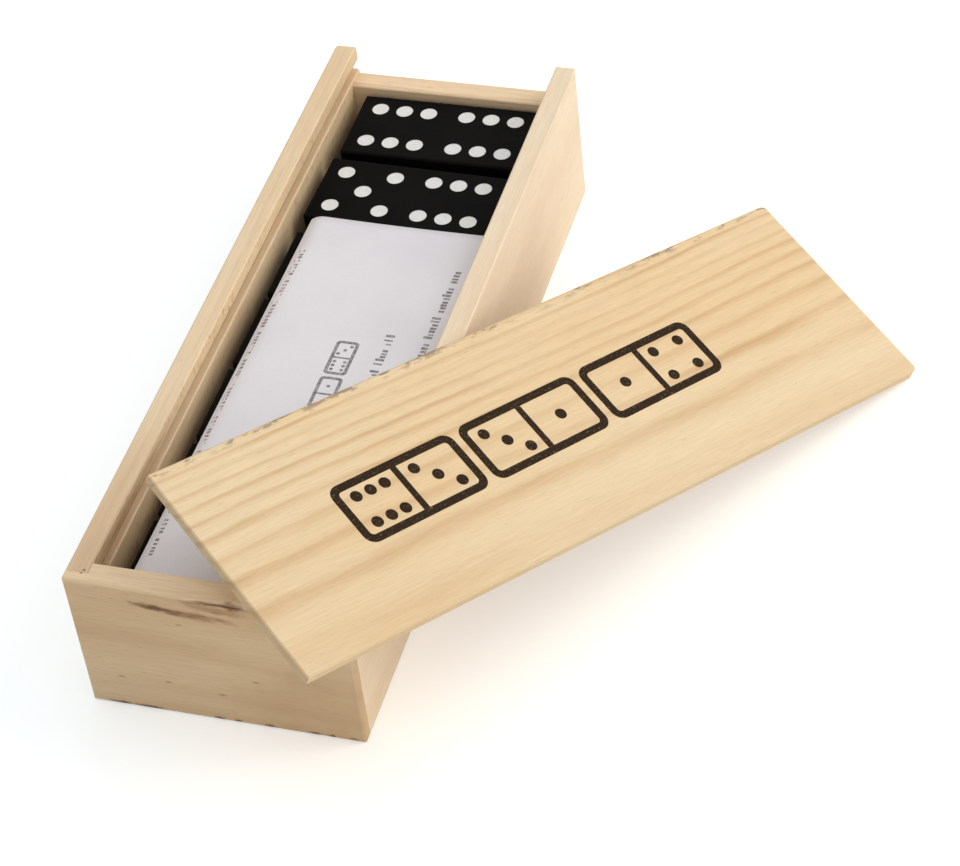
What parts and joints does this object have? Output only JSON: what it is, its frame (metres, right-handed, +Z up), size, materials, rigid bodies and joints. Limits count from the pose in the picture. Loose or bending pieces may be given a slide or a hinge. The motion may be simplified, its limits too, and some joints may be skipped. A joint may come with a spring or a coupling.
{
  "type": "domino storage box",
  "caption": "Open wooden domino box with grooved sides; its sliding lid leans on the rim and a folded leaflet lies on the stacked tiles.",
  "frame": {"origin": "centre of the box's underside", "axes": "+X across the box, towards the side that the lid leans on; +Y along the box, towards the low far end where the lid slides in; +Z up"},
  "size_m": [0.1251, 0.165, 0.0476],
  "materials": {
    "pine_wall": "matte",
    "pine_end": "matte",
    "pine_lid": "matte",
    "bottom_board": "matte",
    "tile_lacquer": "satin",
    "leaflet_paper": "matte"
  },
  "bodies": {
    "tray": {"bottom_panel": "bottom_board", "left_side": "pine_wall", "right_side": "pine_wall", "near_end": "pine_end", "far_end": "pine_end"},
    "tile_0_0": {"tile_0_0": "tile_lacquer"},
    "tile_1_1": {"tile_1_1": "tile_lacquer"},
    "tile_2_3": {"tile_2_3": "tile_lacquer"},
    "tile_3_6": {"tile_3_6": "tile_lacquer"},
    "tile_0_1": {"tile_0_1": "tile_lacquer"},
    "tile_1_2": {"tile_1_2": "tile_lacquer"},
    "tile_2_4": {"tile_2_4": "tile_lacquer"},
    "tile_4_4": {"tile_4_4": "tile_lacquer"},
    "tile_0_2": {"tile_0_2": "tile_lacquer"},
    "tile_1_3": {"tile_1_3": "tile_lacquer"},
    "tile_2_5": {"tile_2_5": "tile_lacquer"},
    "tile_4_5": {"tile_4_5": "tile_lacquer"},
    "tile_0_3": {"tile_0_3": "tile_lacquer"},
    "tile_1_4": {"tile_1_4": "tile_lacquer"},
    "tile_2_6": {"tile_2_6": "tile_lacquer"},
    "tile_4_6": {"tile_4_6": "tile_lacquer"},
    "tile_0_4": {"tile_0_4": "tile_lacquer"},
    "tile_1_5": {"tile_1_5": "tile_lacquer"},
    "tile_3_3": {"tile_3_3": "tile_lacquer"},
    "tile_5_5": {"tile_5_5": "tile_lacquer"},
    "leaflet": {"leaflet": "leaflet_paper"},
    "lid": {"lid": "pine_lid"},
    "tile_0_5": {"tile_0_5": "tile_lacquer"},
    "tile_1_6": {"tile_1_6": "tile_lacquer"},
    "tile_3_4": {"tile_3_4": "tile_lacquer"},
    "tile_5_6": {"tile_5_6": "tile_lacquer"},
    "tile_0_6": {"tile_0_6": "tile_lacquer"},
    "tile_2_2": {"tile_2_2": "tile_lacquer"},
    "tile_3_5": {"tile_3_5": "tile_lacquer"},
    "tile_6_6": {"tile_6_6": "tile_lacquer"}
  },
  "joints": [
    {"name": "tile_0_0_lift", "type": "slide", "parent": "tray", "child": "tile_0_0", "axis": [0, 0, 1], "range_m": [0, 0.03]},
    {"name": "tile_1_1_lift", "type": "slide", "parent": "tile_0_0", "child": "tile_1_1", "axis": [0, 0, 1], "range_m": [0, 0.03]},
    {"name": "tile_2_3_lift", "type": "slide", "parent": "tile_1_1", "child": "tile_2_3", "axis": [0, 0, 1], "range_m": [0, 0.03]},
    {"name": "tile_3_6_lift", "type": "slide", "parent": "tile_2_3", "child": "tile_3_6", "axis": [0, 0, 1], "range_m": [0, 0.03]},
    {"name": "tile_0_1_lift", "type": "slide", "parent": "tile_3_6", "child": "tile_0_1", "axis": [0, 0, 1], "range_m": [0, 0.03]},
    {"name": "tile_1_2_lift", "type": "slide", "parent": "tile_0_1", "child": "tile_1_2", "axis": [0, 0, 1], "range_m": [0, 0.03]},
    {"name": "tile_2_4_lift", "type": "slide", "parent": "tile_1_2", "child": "tile_2_4", "axis": [0, 0, 1], "range_m": [0, 0.03]},
    {"name": "tile_4_4_lift", "type": "slide", "parent": "tile_2_4", "child": "tile_4_4", "axis": [0, 0, 1], "range_m": [0, 0.03]},
    {"name": "tile_0_2_lift", "type": "slide", "parent": "tile_4_4", "child": "tile_0_2", "axis": [0, 0, 1], "range_m": [0, 0.03]},
    {"name": "tile_1_3_lift", "type": "slide", "parent": "tile_0_2", "child": "tile_1_3", "axis": [0, 0, 1], "range_m": [0, 0.03]},
    {"name": "tile_2_5_lift", "type": "slide", "parent": "tile_1_3", "child": "tile_2_5", "axis": [0, 0, 1], "range_m": [0, 0.03]},
    {"name": "tile_4_5_lift", "type": "slide", "parent": "tile_2_5", "child": "tile_4_5", "axis": [0, 0, 1], "range_m": [0, 0.03]},
    {"name": "tile_0_3_lift", "type": "slide", "parent": "tile_4_5", "child": "tile_0_3", "axis": [0, 0, 1], "range_m": [0, 0.03]},
    {"name": "tile_1_4_lift", "type": "slide", "parent": "tile_0_3", "child": "tile_1_4", "axis": [0, 0, 1], "range_m": [0, 0.03]},
    {"name": "tile_2_6_lift", "type": "slide", "parent": "tile_1_4", "child": "tile_2_6", "axis": [0, 0, 1], "range_m": [0, 0.03]},
    {"name": "tile_4_6_lift", "type": "slide", "parent": "tile_2_6", "child": "tile_4_6", "axis": [0, 0, 1], "range_m": [0, 0.03]},
    {"name": "tile_0_4_lift", "type": "slide", "parent": "tile_4_6", "child": "tile_0_4", "axis": [0, 0, 1], "range_m": [0, 0.03]},
    {"name": "tile_1_5_lift", "type": "slide", "parent": "tile_0_4", "child": "tile_1_5", "axis": [0, 0, 1], "range_m": [0, 0.03]},
    {"name": "tile_3_3_lift", "type": "slide", "parent": "tile_1_5", "child": "tile_3_3", "axis": [0, 0, 1], "range_m": [0, 0.03]},
    {"name": "tile_5_5_lift", "type": "slide", "parent": "tile_3_3", "child": "tile_5_5", "axis": [0, 0, 1], "range_m": [0, 0.03]},
    {"name": "leaflet_lift", "type": "slide", "parent": "tile_5_5", "child": "leaflet", "axis": [0, 0, 1], "range_m": [0, 0.03]},
    {"name": "lid_lift", "type": "slide", "parent": "leaflet", "child": "lid", "axis": [0, 0, 1], "range_m": [0, 0.06]},
    {"name": "tile_0_5_lift", "type": "slide", "parent": "tray", "child": "tile_0_5", "axis": [0, 0, 1], "range_m": [0, 0.03]},
    {"name": "tile_1_6_lift", "type": "slide", "parent": "tile_0_5", "child": "tile_1_6", "axis": [0, 0, 1], "range_m": [0, 0.03]},
    {"name": "tile_3_4_lift", "type": "slide", "parent": "tile_1_6", "child": "tile_3_4", "axis": [0, 0, 1], "range_m": [0, 0.03]},
    {"name": "tile_5_6_lift", "type": "slide", "parent": "tile_3_4", "child": "tile_5_6", "axis": [0, 0, 1], "range_m": [0, 0.03]},
    {"name": "tile_0_6_lift", "type": "slide", "parent": "tray", "child": "tile_0_6", "axis": [0, 0, 1], "range_m": [0, 0.03]},
    {"name": "tile_2_2_lift", "type": "slide", "parent": "tile_0_6", "child": "tile_2_2", "axis": [0, 0, 1], "range_m": [0, 0.03]},
    {"name": "tile_3_5_lift", "type": "slide", "parent": "tile_2_2", "child": "tile_3_5", "axis": [0, 0, 1], "range_m": [0, 0.03]},
    {"name": "tile_6_6_lift", "type": "slide", "parent": "tile_3_5", "child": "tile_6_6", "axis": [0, 0, 1], "range_m": [0, 0.03]}
  ]
}
